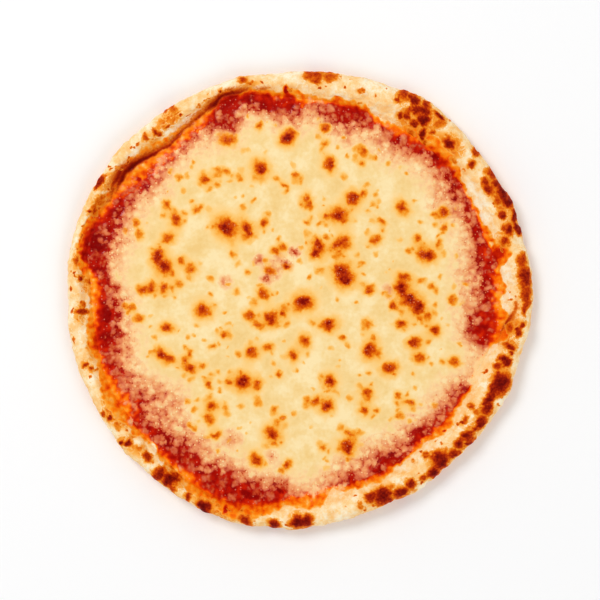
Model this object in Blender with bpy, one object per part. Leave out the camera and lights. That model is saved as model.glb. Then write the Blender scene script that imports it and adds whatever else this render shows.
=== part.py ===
"""A margherita pizza of 12 inches: a dough crust with a puffed, uneven rim, a layer of tomato sauce
in its recess, and a sheet of melted cheese on the sauce. Metres, +Z up, with the origin on the flat
underside at the pizza's centre. Angles are in degrees, anticlockwise from +X as seen from above."""

import math

import bmesh
import bpy
from mathutils import Matrix, Vector

# Driving dimensions.
PIZZA_RADIUS = 0.1525
BASE_THICKNESS = 0.0045
SAUCE_THICKNESS = 0.0016
CHEESE_THICKNESS = 0.0030
CHEESE_EDGE_THICKNESS = 0.0012
LAYER_GAP = 0.0003
ANGLE_STEPS = 120

# The rim's outer edge, as shares of PIZZA_RADIUS at angles where the outline changes.
OUTER_EDGE = (
    (0, 1.005), (20, 1.005), (40, 1.008), (60, 1.018), (75, 1.001), (95, 0.993), (115, 1.002),
    (135, 1.018), (148, 1.025), (165, 1.018), (190, 1.007), (215, 0.999), (240, 1.005),
    (262, 0.993), (280, 0.972), (300, 0.963), (320, 0.965), (333, 0.988), (348, 0.991),
)
# Where the sauce ends and the rim starts to rise.
SAUCE_EDGE = (
    (0, 0.885), (10, 0.875), (23, 0.862), (37, 0.866), (60, 0.869), (86, 0.875), (98, 0.898),
    (107, 0.931), (118, 0.912), (128, 0.896), (140, 0.930), (152, 0.943), (165, 0.955),
    (176, 0.917), (189, 0.905), (204, 0.912), (221, 0.900), (240, 0.930), (254, 0.928),
    (268, 0.870), (284, 0.835), (310, 0.822), (330, 0.824), (343, 0.845), (352, 0.893),
)
# Where the melted cheese ends.
CHEESE_EDGE = (
    (1, 0.795), (20, 0.812), (33, 0.830), (45, 0.832), (56, 0.808), (70, 0.822), (85, 0.845),
    (95, 0.820), (105, 0.860), (115, 0.832), (127, 0.853), (138, 0.835), (150, 0.850),
    (160, 0.862), (170, 0.852), (178, 0.838), (187, 0.797), (197, 0.822), (208, 0.838),
    (220, 0.852), (231, 0.842), (243, 0.860), (251, 0.855), (264, 0.812), (275, 0.818),
    (286, 0.797), (298, 0.792), (312, 0.776), (323, 0.792), (334, 0.800), (342, 0.812),
    (351, 0.770),
)
# Height of the rim's crest above the table, in metres.
CREST_HEIGHT = (
    (0, 0.0165), (28, 0.0175), (50, 0.0185), (74, 0.0155), (96, 0.0145), (124, 0.0155),
    (148, 0.0165), (166, 0.0145), (188, 0.0150), (216, 0.0155), (240, 0.0160), (262, 0.0170),
    (290, 0.0185), (315, 0.0180), (336, 0.0175), (350, 0.0165),
)
# Bubbles that swell the rim: (angle, half width in degrees, rise, swell outwards), in metres.
RIM_BUBBLES = (
    (18, 4.5, 0.0012, 0.0004), (46, 3.5, 0.0010, 0.0000), (57, 5.0, 0.0030, 0.0012),
    (85, 4.0, 0.0012, 0.0008), (127, 4.5, 0.0018, 0.0008), (149, 3.5, 0.0010, 0.0006),
    (220, 3.5, 0.0010, 0.0004), (235, 4.0, 0.0020, 0.0008), (247, 3.0, 0.0012, 0.0012),
    (269, 4.0, 0.0018, 0.0012), (292, 4.0, 0.0020, 0.0006), (311, 3.5, 0.0018, 0.0004),
    (337, 4.0, 0.0022, 0.0010), (352, 3.5, 0.0010, 0.0004),
)

# The rim's cross-section, as shares of its width from the sauce's edge or of its crest's height.
CREST_PLACE = 0.52
WIDEST_HEIGHT = 0.42
BOTTOM_INSET = 0.0060
INNER_SLOPE_STEPS = 7
OUTER_SLOPE_STEPS = 6
UNDERCUT_STEPS = 4
ROUNDNESS = 0.8

# Swellings of the rim and waves of the toppings: (waves per turn, phase in degrees, size).
RIM_SWELLINGS = ((7, 40, 0.00045), (13, 110, 0.00045), (22, 260, 0.00035), (31, 75, 0.00025))
SAUCE_WAVES = ((9, 20, 0.00012), (17, 200, 0.00010))
EDGE_SCALLOPS = ((11, 60, 0.0009), (19, 150, 0.0008), (29, 300, 0.0006))
# Waves across the cheese: (wavelength, direction in degrees, phase in degrees, size).
CHEESE_WAVES = (
    (0.058, 20, 30, 0.00022), (0.041, 95, 200, 0.00020), (0.033, 150, 110, 0.00014),
)
CHEESE_RINGS = (0.15, 0.32, 0.50, 0.68, 0.84, 0.94)
CHEESE_SHOULDER = 0.985


def around(points, angle):
    """The value at an angle on a smooth closed curve through points of (degrees, value)."""
    count = len(points)
    angle %= 360
    after = next((i for i in range(count) if points[i][0] > angle), count)

    def point(index):
        turns, place = divmod(index, count)
        return points[place][0] + 360 * turns, points[place][1]

    def slope(index):
        (start, low), (end, high) = point(index - 1), point(index + 1)
        return (high - low) / (end - start)

    (start, low), (end, high) = point(after - 1), point(after)
    span = end - start
    t = (angle - start) / span
    return (
        low * (1 + 2 * t) * (1 - t) ** 2
        + high * (3 - 2 * t) * t * t
        + span * slope(after - 1) * t * (1 - t) ** 2
        - span * slope(after) * (1 - t) * t * t
    )


def ripple(waves, angle):
    """The sum of waves that close after a full turn."""
    return sum(
        size * math.sin(math.radians(count * angle + phase)) for count, phase, size in waves
    )


def loft(name, rings, material):
    """A closed solid through rings, each a function from an angle to (radius, height).

    The first and the last ring are closed by a fan to a point on the pizza's axis."""
    mesh = bmesh.new()
    turned = []
    for ring in rings:
        loop = []
        for step in range(ANGLE_STEPS):
            angle = 360 * step / ANGLE_STEPS
            radius, height = ring(angle)
            across = math.cos(math.radians(angle)), math.sin(math.radians(angle))
            loop.append(mesh.verts.new((radius * across[0], radius * across[1], height)))
        turned.append(loop)
    for inner, outer in zip(turned, turned[1:]):
        for step in range(ANGLE_STEPS):
            after = (step + 1) % ANGLE_STEPS
            mesh.faces.new((inner[step], outer[step], outer[after], inner[after]))
    for loop in (turned[0], turned[-1]):
        mean_height = sum(vertex.co.z for vertex in loop) / ANGLE_STEPS
        centre = mesh.verts.new((0, 0, mean_height))
        for step in range(ANGLE_STEPS):
            mesh.faces.new((centre, loop[step], loop[(step + 1) % ANGLE_STEPS]))
    bmesh.ops.recalc_face_normals(mesh, faces=mesh.faces)
    data = bpy.data.meshes.new(name)
    mesh.to_mesh(data)
    mesh.free()
    data.shade_smooth()
    data.set_sharp_from_angle(angle=math.radians(50))
    data.materials.append(material)
    solid = bpy.data.objects.new(name, data)
    bpy.context.scene.collection.objects.link(solid)
    return solid


def material_of(name, colour, roughness):
    """A plain food material, from its colour as 0 to 255 sRGB values."""
    made = bpy.data.materials.new(name)
    made.use_nodes = True
    shader = made.node_tree.nodes["Principled BSDF"]
    linear = [(value / 255) ** 2.2 for value in colour]
    shader.inputs["Base Color"].default_value = (*linear, 1)
    shader.inputs["Roughness"].default_value = roughness
    shader.inputs["Metallic"].default_value = 0
    return made


def rim_foot(angle):
    """Radius where the rim rises from the recess, just outside the sauce."""
    return PIZZA_RADIUS * around(SAUCE_EDGE, angle) + LAYER_GAP


def rim_outside(angle):
    return PIZZA_RADIUS * around(OUTER_EDGE, angle) + ripple(RIM_SWELLINGS, angle)


def rim_crest(angle):
    return around(CREST_HEIGHT, angle) + ripple(RIM_SWELLINGS, angle + 180)


def inner_slope(share):
    """A ring on the rim's side towards the sauce, at a share of the way from foot to crest."""

    def ring(angle):
        foot, outside, crest = rim_foot(angle), rim_outside(angle), rim_crest(angle)
        radius = foot + (outside - foot) * CREST_PLACE * share
        rise = math.sin(math.pi / 2 * share) ** ROUNDNESS
        return radius, BASE_THICKNESS + (crest - BASE_THICKNESS) * rise

    return ring


def outer_slope(share):
    """A ring on the rim's outer side, from its crest down to its widest height."""

    def ring(angle):
        foot, outside, crest = rim_foot(angle), rim_outside(angle), rim_crest(angle)
        top = foot + (outside - foot) * CREST_PLACE
        turn = math.pi / 2 * share
        radius = top + (outside - top) * math.sin(turn) ** ROUNDNESS
        widest = crest * WIDEST_HEIGHT
        return radius, widest + (crest - widest) * math.cos(turn) ** ROUNDNESS

    return ring


def undercut(share):
    """A ring where the rim's outer side curves in under it, down to the flat underside."""

    def ring(angle):
        turn = math.pi / 2 * share
        radius = rim_outside(angle) - BOTTOM_INSET * (1 - math.cos(turn))
        return radius, rim_crest(angle) * WIDEST_HEIGHT * (1 - math.sin(turn))

    return ring


def crust():
    """The dough: a flat base whose edge puffs up into the rim."""
    rings = [inner_slope(step / INNER_SLOPE_STEPS) for step in range(INNER_SLOPE_STEPS)]
    rings += [outer_slope(step / OUTER_SLOPE_STEPS) for step in range(OUTER_SLOPE_STEPS)]
    rings += [undercut(step / UNDERCUT_STEPS) for step in range(UNDERCUT_STEPS + 1)]
    return loft("crust", rings, material_of("baked_dough", (240, 196, 132), 0.75))


def tomato_sauce():
    """The sauce, spread over the whole recess inside the rim."""
    bottom = BASE_THICKNESS + LAYER_GAP
    top = bottom + SAUCE_THICKNESS

    def edge(angle):
        return PIZZA_RADIUS * around(SAUCE_EDGE, angle)

    rings = (
        lambda angle: (edge(angle), bottom),
        lambda angle: (edge(angle), bottom + SAUCE_THICKNESS / 2),
        lambda angle: (edge(angle) - SAUCE_THICKNESS, top + ripple(SAUCE_WAVES, angle)),
        lambda angle: (edge(angle) - 3 * SAUCE_THICKNESS, top - ripple(SAUCE_WAVES, angle)),
        lambda angle: (PIZZA_RADIUS * around(CHEESE_EDGE, angle) / 1.02, top),
    )
    return loft("tomato_sauce", rings, material_of("tomato_sauce", (170, 22, 6), 0.3))


def cheese():
    """The melted cheese, thin and scalloped at its edge and gently uneven on top."""
    sauce_top = BASE_THICKNESS + LAYER_GAP + SAUCE_THICKNESS
    bottom = sauce_top + LAYER_GAP + sum(size for _, _, size in SAUCE_WAVES)

    def edge(angle):
        return PIZZA_RADIUS * around(CHEESE_EDGE, angle) + ripple(EDGE_SCALLOPS, angle)

    def waves(angle, radius):
        return sum(
            size * math.sin(
                2 * math.pi * radius * math.cos(math.radians(angle - direction)) / length
                + math.radians(phase)
            )
            for length, direction, phase, size in CHEESE_WAVES
        )

    def upper(share):
        def ring(angle):
            radius = share * edge(angle)
            thinning = (CHEESE_THICKNESS - CHEESE_EDGE_THICKNESS) * share**6
            return radius, bottom + CHEESE_THICKNESS - thinning + waves(angle, radius)

        return ring

    rings = [
        lambda angle: (CHEESE_SHOULDER * edge(angle), bottom),
        lambda angle: (edge(angle), bottom + CHEESE_EDGE_THICKNESS / 2),
    ]
    rings += [upper(share) for share in (CHEESE_SHOULDER, *reversed(CHEESE_RINGS))]
    return loft("cheese", rings, material_of("melted_cheese", (250, 214, 150), 0.35))


def stand_on_origin(outline, solids):
    """Moves the solids together so that the middle of the outline's box is above the origin."""
    corners = [Vector(corner) for corner in outline.bound_box]
    middle = sum(corners, Vector()) / len(corners)
    for solid in solids:
        solid.data.transform(Matrix.Translation((-middle.x, -middle.y, 0)))

for leftover in list(bpy.data.objects):
    bpy.data.objects.remove(leftover)
dough = crust()
stand_on_origin(dough, (dough, tomato_sauce(), cheese()))
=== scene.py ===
"""The looks of a margherita pizza with melted cheese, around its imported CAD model.

Shapes are worked out in millimetres from the CAD outlines, and angles run anticlockwise from +X."""

import math

import bpy
import numpy as np
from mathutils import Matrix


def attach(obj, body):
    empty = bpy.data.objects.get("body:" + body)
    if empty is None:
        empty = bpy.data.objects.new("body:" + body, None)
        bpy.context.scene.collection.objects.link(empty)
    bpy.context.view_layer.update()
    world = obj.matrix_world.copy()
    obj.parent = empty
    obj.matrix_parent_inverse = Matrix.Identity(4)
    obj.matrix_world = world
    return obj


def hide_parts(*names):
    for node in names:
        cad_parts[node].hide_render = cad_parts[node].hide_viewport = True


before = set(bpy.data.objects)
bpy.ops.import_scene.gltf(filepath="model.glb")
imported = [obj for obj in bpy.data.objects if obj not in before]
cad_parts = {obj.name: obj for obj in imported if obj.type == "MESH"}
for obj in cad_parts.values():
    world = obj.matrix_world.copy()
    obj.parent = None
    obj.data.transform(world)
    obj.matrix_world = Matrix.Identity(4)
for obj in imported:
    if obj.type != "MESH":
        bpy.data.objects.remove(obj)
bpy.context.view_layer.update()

MM = 0.001
TURN = 2 * math.pi

# The rim's cross-section, as in the CAD part.
CREST_PLACE = 0.52
WIDEST_HEIGHT = 0.42
BOTTOM_INSET = 6.0
ROUNDNESS = 0.8
BASE_TOP = 4.5
LAYER_GAP, SAUCE_THICKNESS = 0.3, 1.6
SAUCE_TOP = BASE_TOP + LAYER_GAP + SAUCE_THICKNESS
OUTLINE_STEPS = 120
# About how far the sauce's edge and the rim's middle are from the centre.
SAUCE_REACH, RIM_MIDDLE = 140, 148

# Toasted spots on the cheese: (x, y, radius, how dark from 0 to 1), in mm.
TOASTED_SPOTS = (
    (-27, 115, 3.5, .5), (-49, 106, 6, .6), (-9, 106, 5, 1), (-7, 110, 4, .8), (-26, 87, 6, .85),
    (-63, 80, 4.5, .7), (-55, 86, 2.5, .35), (-55, 76, 2.5, .35), (-39, 80, 3, .4), (-80, 81, 3, .4),
    (-3, 82, 3, .5), (-10, 75, 2.5, .4), (-88, 63, 4, .5), (-82, 53, 5, .65), (-69, 59, 3, .4),
    (-108, 51, 3.5, .5), (-106, 43, 4, .45), (-87, 41, 5, .6), (-48, 48, 8, 1), (-35, 48, 4.5, .85),
    (-34, 44, 4, .5), (-24, 51, 3.5, .55), (-44, 30, 3, .4), (-16, 32, 3.5, .5), (-11, 34.5, 3.5, .55),
    (-94, 28, 5.5, .8), (-89, 22, 6, .9), (-78, 26, 3, .5), (-72, 21, 5, .5), (-104, 7, 4.5, .55),
    (-97, 9, 4, .45), (-90, 8, 4, .6), (-80, 11, 3.5, .4), (-9, 22, 3, .85), (-19.5, 19, 5, .5),
    (-24, 4, 4.5, .65), (17, 114, 4.5, .6), (16, 103, 3, .5), (42, 98, 4, .6), (41, 90, 3, .4),
    (19, 90, 5, .8), (4, 68, 4, .55), (6, 62, 4, .5), (35, 67, 5.5, .85), (26, 56, 6.5, .9),
    (17, 55, 3, .55), (42, 70, 3, .35), (67, 61, 5, .8), (53, 52, 3.5, .5), (29, 38, 6, .65),
    (24, 36, 4, .5), (50, 40, 4.5, .55), (13, 36, 5, .8), (10, 31, 4.5, .9), (27, 20, 6, .85),
    (30, 14, 6.5, 1), (80, 31, 5, .65), (86, 29, 5, .85), (78, 41, 3.5, .5), (95, 58, 4.5, .75),
    (95, 48, 3, .6), (91, 37, 2.5, .45), (67, 8, 6, .95), (69, 15, 4.5, .6), (46, 7, 4, .6),
    (87, 9, 3, .4), (101, 0, 4, .5), (2, -2, 7, 1), (19, -16, 5.5, .85), (72, 0, 6, .9), (78, -5, 6, .9),
    (84, -11, 3, .5), (61, -4, 3, .6), (67, -16, 4, .7), (89, -20, 4.5, .8), (43, -16, 4, .4),
    (28, -25, 3, .4), (3, -27, 5, .7), (76, -28, 5, .7), (79, -38, 4.5, .6), (46, -33, 6, .85),
    (102, -41, 4.5, .6), (59, -45, 5.5, .75), (20, -53, 5, .8), (10, -67, 4, .6), (18, -70, 5, .85),
    (44, -62, 5, .6), (65, -63, 3, .5), (73, -68, 3.5, .55), (42, -73, 4, .7), (66, -76, 3.5, .4),
    (32, -87, 3, .4), (31, -97, 6, .95), (15, -97, 3.5, .4), (-64, -7, 6, .8), (-33, -10, 4, .55),
    (-19, -12, 6, .8), (-11, -9, 3, .6), (-27, -17, 3, .4), (-106, -12, 3.5, .6), (-112, -6, 3, .4),
    (-88, -18, 4.5, .7), (-50, -22, 3.5, .55), (-91, -36, 4.5, .9), (-86, -39, 4, .6), (-73, -35, 3, .5),
    (-76, -40, 3, .5), (-64, -43, 3, .5), (-73, -45, 4.5, .75), (-60, -56, 3, .55), (-58, -31, 3, .4),
    (-32, -35, 5, .75), (-21, -31, 4, .5), (-5, -37, 4.5, .6), (-38, -54, 6.5, .9), (-28, -56, 4.5, .6),
    (-47, -54, 3.5, .5), (-14, -49, 3, .5), (-58, -70, 4.5, .65), (-60, -79, 5, .55), (-55, -89, 4, .6),
    (-18, -88, 6, .8), (-12, -78, 3, .5), (-29, -105, 5.5, .75), (-8, -109, 4, .6),
)
SMALL_SPOTS = 420

# Places where the sauce shines through the cheese: (x, y, radius, how much from 0 to 1), in mm.
THIN_PLACES = (
    (-3, 32, 4.5, .7), (-19, 19, 6.5, .85), (-9, 23, 4, .9), (-49, 12, 4.5, .4), (-27, 26, 4, .6),
    (-14, 28, 4.5, .6), (-22, 14, 4.5, .65), (60, 6, 6, .36), (31, 106, 6, .4), (-45, -92, 7, .4),
    (-19, -104, 5, .4), (68, -2, 5, .3),
)

# Browned patches on the rim: (angle, distance from the centre, half length along the rim, half
# width across it, how dark from 0 to 1), in degrees and mm.
BROWNED_PATCHES = (
    # The three patches from 1.5° to 10.3° on the outer edge are partly painted shade where the rim curves
    # away.
    (1.5, 150, 6.5, 3.2, .75), (5.8, 149.2, 6.5, 3.6, .82), (10.3, 149.2, 5.5, 2.6, .7),
    (16, 141, 2.6, 2.4, .75), (18, 152, 5, 1.8, .9), (18.5, 146, 4, 3, .88), (19.5, 142.5, 2, 2, .65),
    (21.5, 151.5, 4.5, 2, .88), (23, 144.5, 3, 2.2, .9), (25.5, 151.5, 4.5, 2.6, .95),
    (27, 146, 2.5, 2, .6), (28, 150.5, 5, 2.8, .92), (30.5, 150.5, 3, 2, .8), (30.5, 144.5, 4.5, 3, .8),
    (32, 145.5, 3, 2.5, .7), (33.5, 151.5, 4.5, 2.5, .72), (38.5, 144.5, 2.5, 2.6, .75),
    (40, 152, 3, 1.8, .7), (42.5, 137.5, 2.5, 1.4, .45), (46.5, 142.5, 4.5, 3.2, .95),
    (48, 145, 1.5, 1.8, .75), (51.5, 141, 2, 2, .6), (52, 148.5, 3, 4, .5), (52, 132.5, 2, 2.2, .6),
    (53, 152.5, 3.5, 1.8, .95), (53.5, 137, 2, 3.4, .95), (55.5, 144, 3.5, 3.2, 1),
    (56.5, 132, 2.5, 2.5, .55), (57, 153.5, 3.5, 2.2, .75), (57, 149.5, 5, 2.8, .9),
    (57, 139.5, 3, 2.5, .85), (58.5, 147.5, 4, 3, .85), (59.5, 141, 2, 2, .8), (60, 145, 2.5, 2.2, .65),
    (60.5, 152.5, 3.5, 3, .85), (61, 139, 2, 2.3, .8), (63, 152.5, 3, 4, .7), (64, 147, 2, 1.5, .75),
    (73.5, 144, 2.5, 1.7, .45), (82.5, 149.5, 5, 2.8, .55), (85.5, 145, 2.5, 2.3, .6),
    (86.5, 149, 5.5, 3.2, .65), (103, 147.5, 2.5, 1.5, .45), (104.5, 150.5, 3.5, 2.2, .6),
    (111, 148, 1, 1.5, .7), (123.5, 152, 2.5, 3, .5), (125.5, 154.5, 1.5, 1.8, .6),
    (127.5, 144.5, 2, 1.2, .6), (130.5, 145, 1.5, 3, .75), (133, 147.5, 1.5, 2, .6),
    (149.5, 154, 4, 2.4, .85), (153.5, 147.5, 4, 2, .45), (156.5, 148.5, 3, 2.2, .6),
    (157.5, 151, 1.5, 1, .8), (170, 149.5, 2, 1.8, .55), (174, 145.5, 2, 2.4, .8),
    (174.5, 139.5, 3, 1.8, .5), (181, 143.5, 2, 1.8, .5), (183, 144.5, 2, 3.3, .75),
    (196.5, 148, 1.5, 2.3, .7), (198, 145, 1.5, 1.5, .65), (210, 150.5, 2.5, 1.3, .65),
    (212, 147.5, 2, 1.3, .85), (214.5, 147, 2.5, 2, .45), (218.5, 150.5, 2.5, 1.6, .95),
    (220, 147.5, 2.5, 2.2, .9), (222.5, 145, 2, 2, .45), (225.5, 145, 3, 2.6, .75),
    (231, 148.5, 3.5, 4.5, .85), (232, 137, 2, 2.8, .65), (234, 146.5, 4.5, 4.6, .95),
    (236, 150, 2.5, 1.8, .7), (240.5, 149.5, 2, 3, .8), (245.5, 150, 4.5, 3.6, 1),
    (256.5, 149.5, 4, 2.6, .8), (263.5, 150, 3.5, 2.6, .9), (269.5, 147, 5, 3.8, .95),
    (271.5, 146, 3.5, 4, .95), (286.5, 141.5, 2, 2, .4), (290, 137.5, 4, 2.6, .8),
    (293, 140, 5, 5.2, .95), (294, 145, 2, 1.5, .7), (296, 136, 2, 1.5, .45), (297.5, 143.5, 5, 3.4, .9),
    (301, 142, 3.5, 3.2, .85), (305, 143.5, 2.5, 1.8, .7), (308, 144.5, 4, 3.4, .95),
    (309.5, 133, 2.5, 1.8, .6), (311, 142.5, 4.5, 4.2, .95), (311.5, 138, 5, 4.2, .9),
    (314.5, 143.5, 3.5, 2.8, .85), (315.5, 146, 3, 1.2, .7), (318, 142.5, 3.2, 3.6, .9),
    (319.5, 141, 2.5, 1.6, .7), (320, 146.5, 2.5, 1.2, .8), (321.5, 142.5, 3.5, 3.4, .9),
    (324, 134, 2.5, 1.3, .6), (324.5, 143, 4.5, 1.8, .8), (326, 144, 4, 3.2, .9),
    (327.5, 138.5, 2, 1.8, .45), (328.5, 134, 2, 1.8, .65), (330, 143, 4.5, 3.2, .9),
    (332.5, 140.5, 5.5, 2.2, .9), (333, 139.5, 4.5, 2, .75), (334, 142.5, 5, 2.5, .85),
    (335, 140, 4, 2.2, .85), (337.5, 143.5, 7, 5, .96), (339, 140, 3, 2.4, .8),
    (341.5, 137.5, 2.5, 2.2, .75), (343, 142.5, 2.5, 3, .9), (343.6, 141, 2.4, 4.6, .9),
    (346, 144.5, 1.5, 1.6, .85), (347.5, 142, 2, 3, .85), (351.5, 146.5, 3.5, 1.6, .8),
    (352, 145, 2, 1.8, .85), (353, 140.5, 3, 2.5, .55), (353.5, 147.5, 2.5, 1.7, .85),
    (358.5, 148.5, 5.5, 2.2, .75),
)
SMALL_PATCHES = 150

# How far from the centre the sauce is deep red, and how far its oil has stained the rim:
# (angle, red to, stained to), in degrees and mm.
STAINS = (
    (0, 128, 132.5), (4, 129, 137.5), (8, 129, 131), (12, 134, 142), (14, 134, 142), (16, 131, 140),
    (18, 129, 133.5), (23, 129.5, 131.5), (31, 130, 131), (35, 131, 132), (38, 131.5, 134),
    (41, 132, 137.5), (47, 132, 139), (50, 130.5, 139), (56, 129, 141), (60, 127, 133), (62, 128, 132),
    (66, 128, 130.5), (69, 130, 132), (72, 133, 136), (79, 132, 136), (83.8, 131, 134.5),
    (85.4, 126, 128.5), (87, 129, 136), (92, 130, 137), (93.5, 139, 141), (95, 133, 137),
    (98, 136.5, 139.5), (100, 138.5, 141), (103, 140, 142.5), (106, 142.5, 145), (109, 144, 146),
    (111, 143.5, 145.5), (115, 137, 142), (119, 131, 139), (127, 129, 138), (131, 128, 140),
    (136, 127, 143), (140, 128, 145), (143, 133, 146), (146, 129, 146), (149, 139, 146), (152, 138, 144),
    # From 160° to 170° the deep red reaches up the rim's inner slope, partly as painted shade there.
    (156, 141, 147), (160, 146, 150), (165, 148, 151), (170, 147, 151), (172, 137, 144), (175, 133, 140),
    (180, 133, 139), (184, 134, 139), (188, 136, 142), (192, 138.5, 143), (196, 137, 142),
    (199, 136, 139.5), (203, 133, 143), (208, 132, 145), (212, 130, 145), (216, 136, 141),
    (220, 136, 140), (224, 135, 138), (228, 136, 140), (232, 136, 141), (236, 135, 140), (240, 137, 146),
    (245, 142, 149), (249, 141, 149), (252, 141.5, 151), (256, 140, 150), (260, 137.5, 145),
    (263, 135, 139.5), (266, 131, 137), (269, 130, 137.5), (273, 126, 137), (276, 124, 136.5),
    (278, 124, 127), (282, 126, 129), (285, 127, 129.5), (289, 126, 130), (294, 126.5, 130),
    (300, 126, 127.5), (305, 125, 127), (309, 123, 125.5), (313, 123.5, 126), (316, 124.5, 129),
    (319, 124, 130), (322, 124, 128.5), (325, 125, 126.5), (330, 125, 127), (334, 126, 127),
    (336, 124, 125.5), (344, 124, 125.5), (346, 128, 130), (350, 131, 140), (353, 132, 141),
    (356, 129, 137),
)
# Red patches beyond those, and the places where the sauce is deepest: (angle, distance, half
# length along the rim, half width across it, how red from 0 to 1).
RED_PATCHES = (
    (13.5, 134.5, 5, 5.5, .7), (21, 126.5, 5, 2.2, .92), (47, 129.5, 6, 2.6, .96), (58, 125, 6, 3, .92),
    (94, 138, 1.6, 3.4, .85), (105, 138, 9, 3, .9), (143.3, 133, 2.2, 3, .8), (148, 129, 3, 1.8, .8),
    # The patch at 164° is partly painted shade on the rim's inner slope, over sauce that rises high.
    (155, 134, 8, 4, .95), (164, 139, 13, 9, .98), (172, 132, 8, 4, .9), (184, 128, 11, 5, .96),
    (212, 121.5, 3, 2, .9), (214, 128, 2.2, 2, .8), (227, 129, 10, 5, .93), (240, 130, 8, 5, .93),
    (250.5, 146, 1.6, 3.6, .75), (256, 133, 11, 4.5, .95), (264, 126, 3, 3, .97), (285, 123, 3, 3, .9),
    (296, 119, 4, 2.5, .9), (308, 120, 8, 2.5, .9), (318, 128, 1.2, .8, .7), (345, 123, 5, 4, .9),
)
# Pale bulges of clean dough: (angle, distance, half length, half width, how clean from 0 to 1).
PALE_BULGES = (
    (16.5, 131, 2.2, 2, .8), (69.5, 140, 2.5, 4, .6), (76, 138.5, 1.6, 1.5, 1), (93, 148.5, 2, 1.7, 1),
    (221, 141.5, 3.8, 3.2, 1), (225.5, 138.5, 3.6, 4, 1), (234, 139.5, 1.8, 2.2, .6),
    (267, 138, 4.5, 2.6, .8),
)
# Where the cheese thins: it is creamy out to one distance and gone beyond the other one, and rosy
# and full of gaps between them: (angle, creamy to, gone from), in degrees and mm.
CHEESE_FADE = (
    (0, 105, 119), (5, 110, 121), (10, 107, 119), (15, 112, 120), (20, 115, 121), (25, 115, 123),
    (30, 111, 123), (35, 109, 124), (40, 118, 124), (45, 119, 125), (50, 119, 125), (55, 114, 120.5),
    (60, 113, 120.5), (63, 112, 122), (66, 116, 125), (70, 115, 122), (75, 112, 120), (79, 113, 121),
    (82, 113, 122), (83.8, 115, 123), (85, 122, 144), (86.4, 122, 144), (88, 116, 123), (94, 114, 121),
    (98, 118, 123), (103, 126, 131), (107, 125, 130), (111, 114, 121), (115, 115, 127), (119, 121, 131),
    (123, 122, 129), (128, 121, 128.5), (133, 122, 127.5), (138, 120, 125.5), (143, 117, 126.5),
    (147, 122, 127), (152, 122, 129), (157, 121, 129), (162, 122, 129), (168, 124, 129), (173, 123, 128),
    (178, 114, 122), (183, 114, 119.5), (188, 115, 119.5), (192, 115, 121), (196, 115, 125),
    (200, 117, 124), (204, 117, 126), (208, 113, 127), (212, 107, 116), (216, 102, 128), (220, 101, 128),
    (225, 110, 126), (229, 112, 120), (233, 112, 122), (238, 112, 124), (241, 114, 123), (246, 115, 121),
    (250, 116, 121.5), (255, 119, 124), (260, 119, 124.5), (264, 114, 120), (268, 122, 132),
    (272, 124, 133.5), (277, 119, 130), (281, 112, 127), (285, 109, 120), (288, 108, 123),
    (292, 106, 124), (296, 107, 117), (301, 108, 118), (305, 111, 118), (309, 110, 116), (312, 108, 114),
    (316, 112, 117), (320, 112, 118.5), (325, 112, 118), (330, 114, 120), (334, 116, 128),
    (336, 122, 150), (342, 122, 150), (345, 114, 124), (347, 110, 115), (352, 108, 113), (356, 108, 116),
)
# Half melted clumps that lie in the sauce: (angle, distance, half length, half width, how much
# they hide from 0 to 1).
VEILS = (
    (27, 128.5, 4, 1.4, .9), (31, 127, 2.6, 2, .7), (34, 129.5, 2.4, 2.4, .9), (38, 128, 2.4, 2, .6),
    (73, 127, 3.2, 2.2, .6), (96, 125, 3.4, 2.6, .7), (113, 131, 2, 2.4, .5), (148, 137, 2.2, 4.5, .9),
    (160, 139, 3.2, 2.6, .9), (163, 137, 2, 1.8, .8), (167.5, 138, 1.8, 3, .7), (188, 126, 1.8, 1.4, .6),
    (197.5, 131, 2.2, 3, .7), (230, 129.5, 2.8, 2.4, .8), (236.5, 131, 2, 3, .6), (242, 133, 3.6, 3, .8),
    (245, 138, 2.6, 2.4, .7), (247, 131, 3.4, 3, .8), (251, 138, 3, 3.4, .8), (257, 130, 3.4, 2.4, .6),
    (261, 131, 3, 2.6, .8), (351, 127, 1.6, 1.6, .6), (354, 124, 1.6, 1.4, .6), (357, 128, 1.8, 1.6, .6),
)
# Scorched lines where the rim folds over the sauce, darkened partly as painted shade under the overhanging
# rim: points of (angle, distance, how dark).
SCORCHED_AND_SHADED_FOLDS = (
    ((99, 140, .3), (104, 142, .5), (108, 143, .75), (111, 142.6, .95), (114, 140.4, .85),
     (117, 138.4, .65), (121, 136.6, .6), (126, 134.8, .65), (130, 133.8, .65), (134, 135.6, .8),
     (138, 138.6, 1), (141, 141.2, 1), (144, 141.8, 1), (147, 141.8, .75), (150, 140.4, .45)),
    ((140, 142.5, .4), (144, 144.5, .8), (148, 143.5, .7), (152, 141.5, .4), (157, 146, .5)),
    ((351, 134, .5), (354, 137.5, .6), (358, 141.5, .5)),
)
# Golden parts of the rim: (angle, distance, half length, half width, how golden from 0 to 1).
GOLDEN_PLACES = (
    (3, 149, 14, 7, .7), (17, 141, 7, 6, .6), (28, 148, 17, 7, .95), (46, 141, 11, 11, 1),
    (57, 143, 16, 14, 1), (85, 148, 10, 5, .5), (104, 146, 12, 5, .5), (113, 144, 12, 3, .7),
    (126, 148, 13, 8, .6), (135, 141, 10, 4, .7), (148, 148, 9, 6, .8), (155, 145, 10, 8, 1),
    (168, 149, 12, 5, .7), (176, 139, 8, 7, .7), (184, 146, 13, 6, .5), (193, 142, 10, 4, .7),
    (210, 142, 17, 7, 1), (221, 145, 12, 8, .7), (234, 145, 11, 9, .9), (250, 147, 25, 8, 1),
    (270, 145, 11, 7, .7), (293, 139, 11, 8, .8), (311, 139, 10, 9, .7), (324, 142, 22, 6, .7),
    (338, 142, 15, 8, .9), (348, 142, 8, 8, .7), (353, 141, 9, 9, .9),
)


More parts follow.
